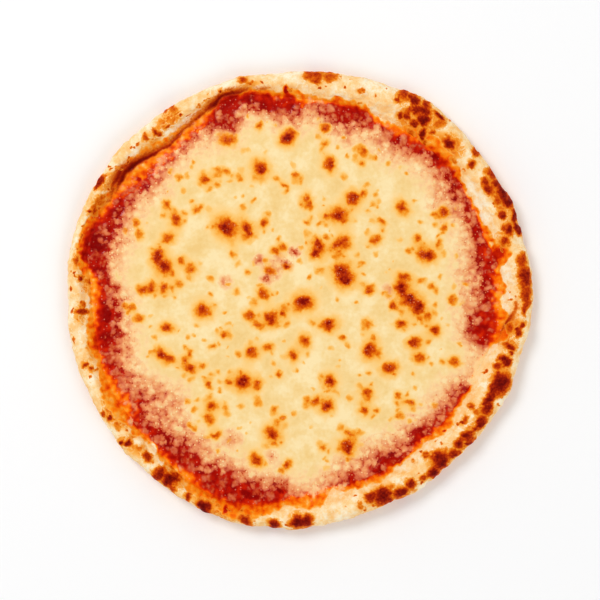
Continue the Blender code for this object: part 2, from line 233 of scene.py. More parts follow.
def smooth_step(low, high, value):
    """0 up to low, 1 from high on, and a smooth step between them."""
    share = np.clip((value - low) / (high - low), 0, 1)
    return share * share * (3 - 2 * share)


LATTICE = 64
GAIN = 1.7


def lumps(points, size, seed):
    """Smooth noise, mostly from -1 to 1, at points in mm, with lumps about size across."""
    slopes = np.random.default_rng(seed).normal(size=(LATTICE, LATTICE, LATTICE, 3))
    slopes /= np.linalg.norm(slopes, axis=-1, keepdims=True)
    place = points / size
    corner = np.floor(place).astype(int)
    inside = place - corner
    fade = inside**3 * (inside * (inside * 6 - 15) + 10)
    total = np.zeros(len(points))
    for step in np.ndindex(2, 2, 2):
        index = (corner + step) % LATTICE
        slope = slopes[index[:, 0], index[:, 1], index[:, 2]]
        weight = np.prod(np.where(step, fade, 1 - fade), axis=1)
        total += weight * np.sum(slope * (inside - step), axis=1)
    return GAIN * total


def layers_of_lumps(points, size, seed, count=3):
    """Lumps with ever smaller ones added to them."""
    return sum(lumps(points, size / 2**k, seed + k) / 2**k for k in range(count)) / 1.5


def cells(points, size, seed):
    """Cells about size across in the XY plane: how far the nearest cell's centre is, in cell sizes,
    and a number from 0 to 1 that is that cell's own."""
    count = 2 * LATTICE
    rng = np.random.default_rng(seed)
    centres, numbers = rng.uniform(0.1, 0.9, (count, count, 2)), rng.random((count, count))
    place = points[:, :2] / size
    home = np.floor(place).astype(int)
    nearest, own = np.full(len(points), np.inf), np.zeros(len(points))
    for step in np.ndindex(3, 3):
        cell = home + step - 1
        index = cell % count
        apart = cell + centres[index[:, 0], index[:, 1]] - place
        distance = np.hypot(apart[:, 0], apart[:, 1])
        closer = distance < nearest
        own = np.where(closer, numbers[index[:, 0], index[:, 1]], own)
        nearest = np.where(closer, distance, nearest)
    return nearest, own


def around(turn, radius, height=0):
    """Points from their angles in radians, distances from the axis and heights."""
    return np.stack([radius * np.cos(turn), radius * np.sin(turn), height + 0 * turn], axis=-1)


def shaken(points, amount, size, seed):
    """Points moved about in X and Y, so that shapes drawn on them get uneven edges."""
    moved = points.copy()
    moved[:, 0] += amount * layers_of_lumps(points, size, seed, 2)
    moved[:, 1] += amount * layers_of_lumps(points, size, seed + 50, 2)
    return moved


def closed_curve(values):
    """A smooth function of the angle, in radians, through values evenly spaced round a turn."""
    values = np.asarray(values, float)

    def read(angle):
        place = np.mod(angle / TURN, 1) * len(values)
        before = np.floor(place).astype(int)
        t = place - before
        a, b, c, d = (values[(before + k) % len(values)] for k in (-1, 0, 1, 2))
        return b + 0.5 * t * (c - a + t * (2 * a - 5 * b + 4 * c - d + t * (3 * (b - c) + d - a)))

    return read


CURVE_STEP = 3


def curve_through(points):
    """Functions of the angle, in radians, through points of (degrees, value, value): one for each
    value."""
    angles, *columns = np.array(points, float).T
    steps = np.arange(0, 360, CURVE_STEP)
    return [closed_curve(np.interp(steps, angles, column, period=360)) for column in columns]


def turned(angle, degrees):
    """Angles in radians as degrees from a direction, from -180 to 180."""
    return (np.degrees(angle) - degrees + 180) % 360 - 180


# The CAD pieces' outlines, as functions of the angle.
def cad_points(node):
    """A CAD node's points in mm, their distances from the axis, and their steps round it."""
    points = np.array([vertex.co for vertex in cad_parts[node].data.vertices]) / MM
    turns = np.arctan2(points[:, 1], points[:, 0]) / TURN
    steps = np.round(turns * OUTLINE_STEPS).astype(int) % OUTLINE_STEPS
    return points, np.hypot(points[:, 0], points[:, 1]), steps


def outline(values, steps, pick=max):
    """The picked value at each step round the axis, as a function of the angle."""
    return closed_curve([pick(values[steps == step]) for step in range(OUTLINE_STEPS)])


dough, dough_radius, dough_steps = cad_points("crust")
at_foot = abs(dough[:, 2] - BASE_TOP) < 0.01
rim_outside = outline(dough_radius, dough_steps)
rim_crest = outline(dough[:, 2], dough_steps)
rim_foot = outline(dough_radius[at_foot], dough_steps[at_foot], min)
_, sauce_radius, sauce_steps = cad_points("tomato_sauce")
sauce_edge = outline(sauce_radius, sauce_steps)
red_reach, stain_reach = curve_through(STAINS)
creamy_reach, rosy_reach = curve_through(CHEESE_FADE)


def make_piece(name, points, faces, material, values, map_places, filled=()):
    """A smooth mesh piece from points in mm, with one number per point under each name in values
    and each point's place on the piece's map. Where a value's numbers run out, it is 1 if it is
    named in filled, or else 0."""
    mesh = bpy.data.meshes.new(name)
    mesh.from_pydata((np.asarray(points) * MM).tolist(), [], faces)
    mesh.shade_smooth()
    for key, numbers in values.items():
        attribute = mesh.attributes.new(key, "FLOAT", "POINT")
        rest = np.full(len(points) - len(numbers), float(key in filled))
        attribute.data.foreach_set("value", np.append(numbers, rest).astype(np.float32))
    corners = np.empty(len(mesh.loops), np.int32)
    mesh.loops.foreach_get("vertex_index", corners)
    layer = mesh.uv_layers.new(name="OFBake")
    layer.uv.foreach_set("vector", map_places[corners].astype(np.float32).ravel())
    mesh.materials.append(material)
    piece = bpy.data.objects.new(name, mesh)
    bpy.context.scene.collection.objects.link(piece)
    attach(piece, "root")
    return piece


def grid_faces(rows, columns):
    """Quads of a grid whose rows close round, each row's points one after the other."""
    first = np.arange((rows - 1) * columns).reshape(rows - 1, columns)
    after = np.roll(first, -1, axis=1)
    quads = np.stack([first, first + columns, after + columns, after], axis=-1)
    return quads.reshape(-1, 4).tolist()


def fan_faces(ring, middle, flip=False):
    """Triangles from a ring of points to a middle one."""
    pairs = zip(ring.tolist(), np.roll(ring, -1).tolist())
    return [(b, a, middle) if flip else (a, b, middle) for a, b in pairs]


def close_rings(points, columns, first_height, last_height):
    """Rings of points with a middle added to the first and the last one, and the shape's faces."""
    count = len(points)
    ring = np.arange(columns)
    faces = grid_faces(count // columns, columns) + fan_faces(ring, count)
    faces += fan_faces(ring + count - columns, count + 1, flip=True)
    return np.concatenate([points, [[0, 0, first_height], [0, 0, last_height]]]), faces


def push_out(grid, distance):
    """Moves a grid of points, closed round its rows, along its own normals."""
    along = np.roll(grid, -1, axis=1) - np.roll(grid, 1, axis=1)
    across = np.gradient(grid, axis=0)
    normal = np.cross(across, along)
    normal /= np.maximum(np.linalg.norm(normal, axis=-1, keepdims=True), 1e-9)
    return grid + normal * distance[..., None]


# Materials.
def linear(colour):
    """A 0 to 255 sRGB colour as the linear values that shaders take."""
    shares = np.array(colour) / 255
    return np.where(shares < 0.04, shares / 12.92, ((shares + 0.055) / 1.055) ** 2.4).tolist()


class Shader:
    """A material's nodes. Each call adds a node and returns the output that the next one takes."""

    def __init__(self, name):
        self.material = bpy.data.materials.new(name)
        self.material.use_nodes = True
        self.tree = self.material.node_tree
        self.tree.nodes.clear()
        self.place = self.add("TexCoord").outputs["Object"]

    def add(self, kind, inputs=(), **settings):
        """A node, with inputs by name or number: each a value or another node's output."""
        node = self.tree.nodes.new("ShaderNode" + kind)
        for key, value in settings.items():
            setattr(node, key, value)
        for key, value in dict(inputs).items():
            if isinstance(value, bpy.types.NodeSocket):
                self.tree.links.new(value, node.inputs[key])
            else:
                node.inputs[key].default_value = value
        return node

    def attribute(self, name):
        return self.add("Attribute", attribute_name=name).outputs["Fac"]

    def noise(self, size, detail=2.0, roughness=0.5):
        """Noise from 0 to 1 with lumps about size mm across."""
        inputs = {"Vector": self.place, "Scale": 1 / (size * MM)}
        return self.add("TexNoise", {**inputs, "Detail": detail, "Roughness": roughness}).outputs["Fac"]

    def granules(self, size):
        """How far each place is from the middle of its granule, from 0 to about 0.8, and a number
        from 0 to 1 that is the granule's own. The granules are about size mm across."""
        cells = self.add("TexVoronoi", {"Vector": self.place, "Scale": 1 / (size * MM)})
        own = self.add("SeparateColor", {"Color": cells.outputs["Color"]}).outputs["Red"]
        return cells.outputs["Distance"], own

    def calculate(self, operation, *values):
        return self.add("Math", enumerate(values), operation=operation).outputs[0]

    def times(self, first, second):
        return self.calculate("MULTIPLY", first, second)

    def blend(self, first, second, share):
        """Two numbers mixed, with share of the second."""
        return self.calculate("MULTIPLY_ADD", self.calculate("SUBTRACT", second, first), share, first)

    def vary(self, value, noise, amount):
        """The value, raised or lowered by up to about amount where the noise says."""
        return self.calculate("MULTIPLY_ADD", self.calculate("SUBTRACT", noise, 0.5), 2 * amount, value)

    def between(self, value, low, high, to_low=0.0, to_high=1.0):
        """The value's smooth step from low to high, as to_low to to_high."""
        inputs = enumerate((value, low, high, to_low, to_high))
        return self.add("MapRange", inputs, interpolation_type="SMOOTHSTEP").outputs[0]

    def ramp(self, value, *stops):
        """Colours along a value: stops of (position, red, green, blue), with colours to 255."""
        node = self.add("ValToRGB", {"Fac": value})
        elements = node.color_ramp.elements
        while len(elements) < len(stops):
            elements.new(0.5)
        for element, (position, *colour) in zip(elements, stops):
            element.position = position
            element.color = (*linear(colour), 1)
        return node.outputs["Color"]

    def mix(self, factor, first, second):
        """Two colours mixed, with factor of the second."""
        colours = [(*linear(c), 1) if isinstance(c, tuple) else c for c in (first, second)]
        inputs = {0: factor, 6: colours[0], 7: colours[1]}
        return self.add("Mix", inputs, data_type="RGBA").outputs[2]

    def bump(self, height, depth):
        """A bump whose height from 0 to 1 stands for depth in mm."""
        inputs = {"Strength": 1.0, "Distance": depth * MM, "Height": height}
        return self.add("Bump", inputs).outputs["Normal"]

    def thinness(self):
        """The sheer attribute with a fine unevenness."""
        return self.vary(self.attribute("sheer"), self.noise(1.2, 3), 0.1)

    def finish(self, **inputs):
        named = {key.replace("_", " "): value for key, value in inputs.items()}
        surface = self.add("BsdfPrincipled", named)
        output = self.add("OutputMaterial")
        self.tree.links.new(surface.outputs[0], output.inputs[0])
        return self.material


def under_tomato(s, colour, fine, middle):
    """The colour with the sauce's own over it, as deep as the tomato attribute says."""
    depth = s.attribute("tomato")
    even = s.vary(depth, fine, 0.1)
    uneven = s.vary(even, middle, 0.2)
    amount = s.blend(even, uneven, s.between(depth, 0.75, 0.45, 0.25, 1.0))
    red = s.ramp(
        amount, (0.08, 253, 196, 108), (0.20, 254, 170, 56), (0.32, 254, 140, 14),
        (0.44, 249, 108, 2), (0.54, 234, 74, 0), (0.64, 213, 42, 0), (0.75, 188, 20, 0),
        (0.87, 160, 7, 0), (1.0, 130, 1, 0),
    )
    return s.mix(s.between(amount, 0.02, 0.22), colour, red)


def under_cheese(s, colour, sheer):
    """The colour with cheese over it, as thin as sheer says: rosy over deep sauce, and a pale veil
    over orange oil."""
    rosy = s.ramp(
        sheer, (0.06, 253, 218, 158), (0.18, 250, 201, 140), (0.30, 245, 181, 120),
        (0.42, 239, 160, 102), (0.53, 231, 140, 86), (0.63, 222, 120, 72), (0.72, 211, 99, 56),
        (0.80, 200, 77, 38), (0.88, 188, 54, 20), (0.95, 175, 30, 8), (1.0, 158, 10, 1),
    )
    pinker = s.between(s.noise(3, 2), 0.42, 0.62, 0.0, 0.2)
    rosy = s.mix(pinker, rosy, (234, 150, 120))
    veil = s.mix(s.between(sheer, 0.1, 0.9), (253, 216, 156), colour)
    rosy = s.mix(s.between(s.attribute("tomato"), 0.7, 0.5), rosy, veil)
    return s.mix(s.between(sheer, 0.8, 1.0), rosy, colour)


def under_scorch_and_shade(s, colour):
    """The colour with a fold over it, scorched and partly painted shade, as dark as its attribute says."""
    amount = s.vary(s.attribute("fold_scorch_shade"), s.noise(1.6, 3, 0.6), 0.22)
    scorched_and_shaded = s.ramp(
        amount, (0.1, 250, 184, 98), (0.28, 236, 138, 40), (0.46, 212, 90, 10),
        (0.64, 176, 44, 2), (0.82, 138, 16, 0), (1.0, 108, 6, 0),
    )
    # Weak scorch and painted shade don't lighten deep red sauce.
    hidden = s.times(s.attribute("tomato"), 0.45)
    start, end = (s.calculate("ADD", hidden, level) for level in (0.08, 0.36))
    return s.mix(s.between(amount, start, end), colour, scorched_and_shaded)


# Clean dough, from its darker to its paler places.
CREAM = ((0.36, 252, 190, 112), (0.48, 255, 217, 156), (0.6, 255, 243, 212))


def dough_material():
    s = Shader("baked_dough_look")
    fine, middle, broad = s.noise(1.1, 3), s.noise(4, 3), s.noise(15, 2)
    colour = s.ramp(s.vary(s.blend(broad, middle, 0.45), fine, 0.12), *CREAM)
    # Golden where it is baked harder, between thin pale ridges.
    ridge = s.calculate("ABSOLUTE", s.calculate("SUBTRACT", s.noise(5, 3, 0.55), 0.5))
    hollow = s.between(ridge, 0.0, 0.06, 0.5, 1.12)
    gold = s.times(s.attribute("gold"), hollow)
    golden = s.ramp(
        s.vary(gold, fine, 0.14), (0.1, 253, 206, 138), (0.35, 250, 178, 82), (0.6, 243, 144, 34),
        (0.85, 228, 110, 10),
    )
    colour = s.mix(s.between(gold, 0.05, 0.4), colour, golden)
    colour = under_tomato(s, colour, fine, middle)
    rosy = under_cheese(s, colour, s.thinness())
    colour = under_scorch_and_shade(s, s.mix(s.attribute("covered"), colour, rosy))
    brown = s.vary(s.vary(s.attribute("brown"), s.noise(1.3, 3, 0.6), 0.3), s.noise(3.4, 2), 0.22)
    brown = s.times(brown, s.between(s.attribute("brown"), 0.0, 0.12))
    browned = s.ramp(
        brown, (0.10, 248, 172, 76), (0.22, 242, 148, 38), (0.35, 231, 120, 14),
        (0.47, 217, 92, 2), (0.59, 196, 62, 0), (0.72, 163, 34, 0), (0.86, 128, 14, 0),
        (1.0, 98, 2, 0),
    )
    colour = s.mix(s.between(brown, 0.04, 0.26), colour, browned)
    baked = s.ramp(
        s.noise(9, 4, 0.6), (0.34, 112, 58, 22), (0.44, 184, 112, 50), (0.56, 224, 168, 100),
        (0.68, 240, 202, 146),
    )
    colour = s.mix(s.attribute("under"), colour, baked)
    rough = s.between(s.attribute("tomato"), 0.1, 0.5, 0.66, 0.34)
    height = s.calculate("MULTIPLY_ADD", hollow, -0.8, fine)
    return s.finish(
        Base_Color=colour, Roughness=rough, Specular_IOR_Level=0.05, Normal=s.bump(height, 0.16),
    )


def sauce_material():
    s = Shader("tomato_sauce_look")
    pulp = s.noise(1.8, 3, 0.6)
    dough = s.ramp(s.noise(4, 3), *CREAM)
    colour = under_tomato(s, dough, pulp, s.noise(4, 3))
    # Small painted glints, pale dots that stand in for light on the oil, then the thin cheese.
    apart, own = s.granules(1.7)
    painted_glint = s.times(s.between(apart, 0.36, 0.14), s.between(own, 0.78, 0.82, 0.0, 0.5))
    colour = s.mix(painted_glint, colour, (255, 160, 128))
    colour = under_scorch_and_shade(s, under_cheese(s, colour, s.thinness()))
    return s.finish(
        Base_Color=colour, Roughness=0.2, Specular_IOR_Level=0.2, Normal=s.bump(pulp, 0.08),
    )


def cheese_material():
    s = Shader("melted_cheese_look")
    fine, grain, broad = s.noise(0.9, 3), s.noise(2.6, 3), s.noise(14, 2)
    colour = s.ramp(
        s.blend(broad, grain, 0.3), (0.34, 242, 203, 130), (0.48, 247, 214, 148),
        (0.62, 252, 228, 174),
    )
    # The sauce shines through where the sheet is thin, and dark specks show there; the pale specks are
    # painted glints.
    thin = s.attribute("sheer")
    apart, own = s.granules(1.7)
    middle = s.between(apart, 0.45, 0.15)
    dark = s.times(middle, s.between(own, 0.74, 0.8, 0.0, 0.28))
    # Pale specks: painted glints on the thin cheese.
    pale = s.times(middle, s.between(own, 0.26, 0.2, 0.0, 0.4))
    speckled = s.calculate("ADD", thin, s.calculate("SUBTRACT", dark, pale))
    rosiness = s.vary(s.vary(speckled, s.noise(2.4, 2), 0.12), fine, 0.12)
    sheer = s.blend(thin, rosiness, s.between(thin, 0.04, 0.28))
    colour = s.mix(
        s.between(sheer, 0.0, 0.12), colour, under_cheese(s, under_tomato(s, colour, fine, grain), sheer),
    )
    depth = s.attribute("toast")
    toast = s.vary(s.vary(depth, s.noise(1.8, 3, 0.55), 0.32), s.noise(0.8, 2), 0.12)
    toast = s.blend(depth, toast, s.between(depth, 0.04, 0.5))
    toasted = s.ramp(
        toast, (0.03, 252, 214, 146), (0.11, 251, 201, 116), (0.21, 250, 181, 80),
        (0.31, 246, 161, 50), (0.41, 241, 140, 26), (0.51, 233, 119, 9), (0.61, 222, 98, 2),
        (0.71, 207, 76, 0), (0.81, 189, 54, 0), (0.90, 165, 32, 0), (1.0, 126, 6, 0),
    )
    colour = s.mix(s.between(toast, 0.0, s.calculate("MULTIPLY_ADD", thin, 0.8, 0.1)), colour, toasted)
    # Pale blisters on the darkest spots: their pale dots are painted glints, and the bump raises them.
    apart, own = s.granules(1.3)
    blister = s.times(s.between(apart, 0.42, 0.16), s.between(own, 0.8, 0.84))
    blister = s.times(blister, s.between(depth, 0.4, 0.6, 0.0, 0.45))
    colour = s.mix(blister, colour, (250, 176, 116))
    rough = s.between(sheer, 0.2, 0.7, 0.36, 0.22)
    height = s.calculate("MULTIPLY_ADD", s.between(depth, 0.3, 0.7), blister, fine)
    return s.finish(
        Base_Color=colour, Roughness=rough, Specular_IOR_Level=0.06, Normal=s.bump(height, 0.14),
    )


DOUGH = dough_material()
SAUCE = sauce_material()
CHEESE = cheese_material()


def marks(angle, radius, listed, *stops):
    """How strongly listed ellipses mark each place. Each is (angle, distance, half length along
    the rim, half width across it, strength). The stops are (share of its size, share of its
    strength) from its middle outwards."""
    strongest = np.zeros(len(angle))
    shares, levels = np.array(stops).T
    for middle, distance, along, across, strength in listed:
        away = np.hypot(np.radians(turned(angle, middle)) * distance / along, (radius - distance) / across)
        strongest = np.maximum(strongest, strength * np.interp(away, shares, levels))
    return strongest


def fold_scorch_and_shade(angle, radius):
    """How dark the folds are at each place: scorched, and partly painted shade under the overhanging rim."""
    strongest = np.zeros(len(angle))
    degrees = np.degrees(angle) % 360
    place = np.stack([degrees * 2.5, radius, 0 * radius], -1)
    wiggle = lumps(place, 7, 38)
    for points in SCORCHED_AND_SHADED_FOLDS:
        angles, distances, darks = np.array(points).T
        side = radius - np.interp(degrees, angles, distances) + 0.8 * wiggle
        off = np.where(side < 0, -2 * side, side)
        off += 0.8 * np.maximum(angles[0] - degrees, 0) + 0.8 * np.maximum(degrees - angles[-1], 0)
        line = np.interp(off, (0, 0.8, 1.8, 3.4, 6.2), (1, 0.88, 0.6, 0.4, 0))
        strongest = np.maximum(strongest, line * (np.interp(degrees, angles, darks) + 0.2 * wiggle))
    return strongest


def bubbles(points):
    """Low round bubbles of dough, about 7 mm across: 1 on top of each and 0 between them."""
    nearest, _ = cells(shaken(points, 1.2, 5, 47), 7.5, 48)
    return np.clip(1 - (nearest / 0.72) ** 2, 0, 1)


def tomato(angle, radius):
    """How much sauce colours each place: 1 is deep red, 0.5 orange with oil, and 0 clean dough."""
    points = around(angle, radius)
    uneven = radius + 1.6 * layers_of_lumps(points, 7, 31) + 0.8 * lumps(points, 2.6, 35) + 0.4
    red = red_reach(angle)
    stained = np.maximum(stain_reach(angle), red + 1.2)
    share = (uneven - red) / (stained - red)
    strength = np.interp(share, (-2, -0.4, 0.12, 0.5, 1.0), (0.84, 0.77, 0.56, 0.46, 0.37))
    strength += 0.16 * lumps(points, 7, 37) * smooth_step(0.4, -0.4, share)
    strength += 0.2 * lumps(points, 3.2, 39) * smooth_step(-4, 0.3, share)
    strength -= 0.16 * bubbles(points) * smooth_step(-0.2, 0.5, share)
    strength *= smooth_step(1.2, -0.6, uneven - stained)
    bent = angle + (uneven - radius) / SAUCE_REACH
    patches = marks(bent, uneven - 0.4, RED_PATCHES, (0.5, 1), (0.8, 0.7), (1.1, 0.45), (1.5, 0))
    strength = np.maximum(strength, patches)
    strength *= 1 - marks(bent, uneven - 0.4, PALE_BULGES, (0.6, 1), (1.1, 0))
    return strength


def clumps(points):
    """The half melted clumps of cheese: how high each place is on its clump, from 0 to 1, and how
    much thicker than others it is, from about -1 to 1."""
    clump, own = cells(shaken(points, 2.2, 4, 105), 4.2, 106)
    grain, grain_own = cells(shaken(points, 0.5, 1.6, 115), 2.1, 116)
    dome, small_dome = (np.clip(1 - (d / 0.82) ** 2, 0, 1) for d in (clump, grain))
    uneven = 0.85 * (dome - 0.6) + 0.75 * (own - 0.5) + 0.55 * lumps(points, 6, 107)
    uneven += 0.25 * (small_dome - 0.6) + 0.25 * (grain_own - 0.5)
    return 0.75 * dome + 0.25 * small_dome, uneven


def sheerness(points, angle, radius):
    """How thin the cheese is at each place, without and with its clumps: 0 is a thick sheet, and
    1 is no cheese at all."""
    creamy, gone = creamy_reach(angle), rosy_reach(angle)
    past = radius + 1.8 * layers_of_lumps(points, 9, 101) - creamy
    share = past / np.maximum(gone - creamy, 4)
    plain = np.where(
        past < 0,
        np.interp(past, (-16, -8, -3, 0), (0, 0.08, 0.16, 0.27)),
        np.interp(share, (0, 0.5, 0.85, 1.1, 1.7, 2.6), (0.27, 0.5, 0.68, 0.86, 0.96, 1.25)),
    )
    _, thicker = clumps(points)
    sheer = plain - np.interp(plain, (0.02, 0.35, 0.7, 1.0), (0, 0.4, 0.52, 0.56)) * thicker
    return plain, sheer


# The crust.
CRUST_COLUMNS = 1440
RIM_ROWS = 58
UNDER_SAUCE = 3.0
FILLET = 1.6
UNDER_SHARES = (0.99, 0.97, 0.94, 0.89, 0.8, 0.65, 0.4)
# Where the rim is wrinkled: (angle, distance, half length, half width, how much from 0 to 1).
WRINKLED = ((126, 146.5, 13, 6.5, 1),)
# Marks on the rim lie this much further in than listed, because a raised rim looks wider from above.
SPREAD = 0.9
# How a browned patch fades outwards: (share of its size, share of its strength).
BROWN_FADE = ((0.4, 0.95), (0.8, 0.8), (1.05, 0.56), (1.3, 0.3), (1.6, 0.1), (1.9, 0))
RIM_MAP_INSIDE = 128.0
TYPICAL_ANGLE = 4.0


def rim_profile(place, angle):
    """Radius and height on the rim's plain cross-section: place is 0 under the sauce, 1 on its
    crest, 2 where it is widest and 3 on the underside. Its foot runs out level with the sauce."""
    foot, outside, crest = rim_foot(angle), rim_outside(angle), rim_crest(angle)
    top, widest = foot + (outside - foot) * CREST_PLACE, crest * WIDEST_HEIGHT
    inner, outer, under = (np.clip(place - k, 0, 1) * math.pi / 2 for k in range(3))
    start = np.clip(place, 0, 1)
    radius = np.where(
        place < 1,
        foot + (top - foot) * start - UNDER_SAUCE * (1 - start) ** 3,
        top + (outside - top) * np.sin(outer) ** ROUNDNESS - BOTTOM_INSET * (1 - np.cos(under)),
    )
    rise = BASE_TOP + (crest - BASE_TOP) * np.sin(inner) ** ROUNDNESS
    filleted = (rise + SAUCE_TOP + np.sqrt((rise - SAUCE_TOP) ** 2 + FILLET**2)) / 2
    height = np.where(
        place < 1,
        filleted - 1.5 * smooth_step(0.25, 0, start) - (filleted - rise) * smooth_step(0.5, 1, start),
        (widest + (crest - widest) * np.clip(np.cos(outer), 0, 1) ** ROUNDNESS) * (1 - np.sin(under)),
    )
    return radius, height


def even_places(count):
    """Places along the cross-section that are evenly far apart on a typical rim, and its length."""
    fine = np.linspace(0, 3, 1500)
    radius, height = rim_profile(fine, np.full(len(fine), TYPICAL_ANGLE))
    length = np.concatenate([[0], np.cumsum(np.hypot(np.diff(radius), np.diff(height)))])
    return np.interp(np.linspace(0, length[-1], count), length, fine), length[-1]


def small_patches():
    """Small browned flecks strewn over the rim."""
    rng = np.random.default_rng(5)
    flecks = []
    for degrees in rng.uniform(0, 360, SMALL_PATCHES):
        angle = math.radians(degrees)
        foot, outside = rim_foot(angle), rim_outside(angle)
        distance = foot + rng.uniform(0.15, 1.0) * (outside - foot)
        half_length, half_width, dark = rng.uniform((0.6, 0.5, 0.2), (2.0, 1.2, 0.7))
        flecks.append((degrees, distance, half_length, half_width, dark))
    return flecks


def rim_marks(flat, place, turn, reach, bubble):
    """How browned, golden, pale, wrinkled and blistered the rim is at each point."""
    out = reach + 1.6 * layers_of_lumps(flat, 5, 11) + 0.7 * lumps(flat, 1.8, 15)
    out += SPREAD + 1.4 * lumps(flat, 11, 17)
    round_ = turn + (1.6 * layers_of_lumps(flat, 5, 21) + 0.7 * lumps(flat, 1.8, 25)) / RIM_MIDDLE
    round_ += 2.2 * lumps(flat, 12, 27) / RIM_MIDDLE
    brown = marks(round_, out, BROWNED_PATCHES, *BROWN_FADE)
    brown = np.maximum(brown, marks(round_, out, small_patches(), (0.6, 1), (1.3, 0)))
    wide = [(a, r, u + 3, v + 2.4, d) for a, r, u, v, d in BROWNED_PATCHES]
    gold = marks(round_, out, wide, (0.4, 0.8), (1.2, 0))
    gold = np.maximum(gold, marks(round_, out, GOLDEN_PLACES, (0.3, 1), (1.2, 0)))
    gold = np.maximum(gold, 0.5 * smooth_step(1.8, 2.5, place))
    gold *= 1.2 - 0.4 * bubble
    gold = np.maximum(gold, 0.12 + 0.24 * layers_of_lumps(flat, 9, 51))
    pale = marks(round_, out, PALE_BULGES, (0.6, 1), (1.1, 0))
    gold *= 1 - pale
    brown *= 1 - pale
    wrinkled = marks(turn, reach, WRINKLED, (0.5, 1), (1.1, 0))
    along_rim = np.stack([turn * 50, reach, 0 * turn], axis=-1)
    wrinkles = (1 - abs(lumps(along_rim, 3.2, 46))) ** 3
    gold = np.maximum(gold, wrinkled * (0.4 + 0.5 * wrinkles))
    blister = marks(round_, out, BROWNED_PATCHES, (0.2, 1), (1.5, 0))
    return brown, gold, pale, wrinkled * wrinkles, blister


def build_crust():
    places, length = even_places(RIM_ROWS)
    angle = np.arange(CRUST_COLUMNS) * TURN / CRUST_COLUMNS
    place, turn = np.meshgrid(places, angle, indexing="ij")
    radius, height = rim_profile(place, turn)
    grid = around(turn, radius, height)
    flat = grid.reshape(-1, 3)
    place, turn, radius = place.ravel(), turn.ravel(), radius.ravel()

    # Below the widest place, marks run on outwards instead of turning back under the rim.
    reach = np.where(place > 2, 2 * rim_outside(turn) - radius, radius)
    flat_reach = around(turn, reach)
    bubble = bubbles(flat_reach)
    brown, gold, pale, wrinkle, blister = rim_marks(flat, place, turn, reach, bubble)
    # The folds' scorch, partly painted shade under the overhanging rim.
    fold_scorch_shade = fold_scorch_and_shade(turn, reach)
    red = tomato(turn, reach) * smooth_step(1.9, 1.6, place)
    # The thin cheese runs a little way up the rim's foot.
    _, sheer = sheerness(flat_reach, turn, reach)
    covered = smooth_step(3, -0.5, reach - rim_foot(turn)) * smooth_step(0.75, 0.45, sheer)

    # Relief: broad swellings, smaller lumps, blisters under the browned patches, and wrinkles.
    free = smooth_step(0.0, 0.35, place) * smooth_step(2.95, 2.3, place)
    relief = 0.8 * lumps(flat, 15, 41) + 0.45 * lumps(flat, 7, 42) + 0.18 * lumps(flat, 3, 43) - 0.3
    relief -= 0.6 * np.clip(1 - 1.6 * abs(lumps(flat, 9, 44)), 0, 1) ** 4
    relief += 0.9 * blister + 0.5 * bubble - 0.2
    relief += 0.06 * lumps(flat, 1.3, 45) - 0.7 * wrinkle - 0.6 * fold_scorch_shade + 0.7 * pale
    grid = push_out(grid, (relief * free).reshape(grid.shape[:2]))
    grid[..., 2] = np.maximum(grid[..., 2], 0)

    under = [grid[-1] * (share, share, 0) for share in UNDER_SHARES]
    points = np.concatenate([grid, under]).reshape(-1, 3)
    points, faces = close_rings(points, CRUST_COLUMNS, BASE_TOP, 0)
    values = {
        "brown": brown, "gold": gold, "tomato": red, "sheer": np.clip(sheer, 0, 1), "covered": covered,
        "fold_scorch_shade": fold_scorch_shade * smooth_step(1.9, 1.6, place), "under": smooth_step(2.5, 3.0, place),
    }

    # The map: the rim unrolled into a ring, with the underside inside it.
    inner = [RIM_MAP_INSIDE * 0.97 * share for share in UNDER_SHARES]
    distance = [*(RIM_MAP_INSIDE + np.linspace(0, length, RIM_ROWS)), *inner]
    distance, turns = (a.ravel() for a in np.meshgrid(distance, angle, indexing="ij"))
    spots = np.concatenate([around(turns, distance)[:, :2], [[0, 0], [0, 0]]])
    spots = 0.5 + spots / (2 * (RIM_MAP_INSIDE + length + 2))
    crust = make_piece("crust_baked", points, faces, DOUGH, values, spots, ["under"])
    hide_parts("crust")


# The tomato sauce.
SAUCE_COLUMNS = 1260
SAUCE_ROWS = 62
SAUCE_BAND = 42.0
SAUCE_OVERLAP = 1.1
SAUCE_MAP_WIDTH = 300.0


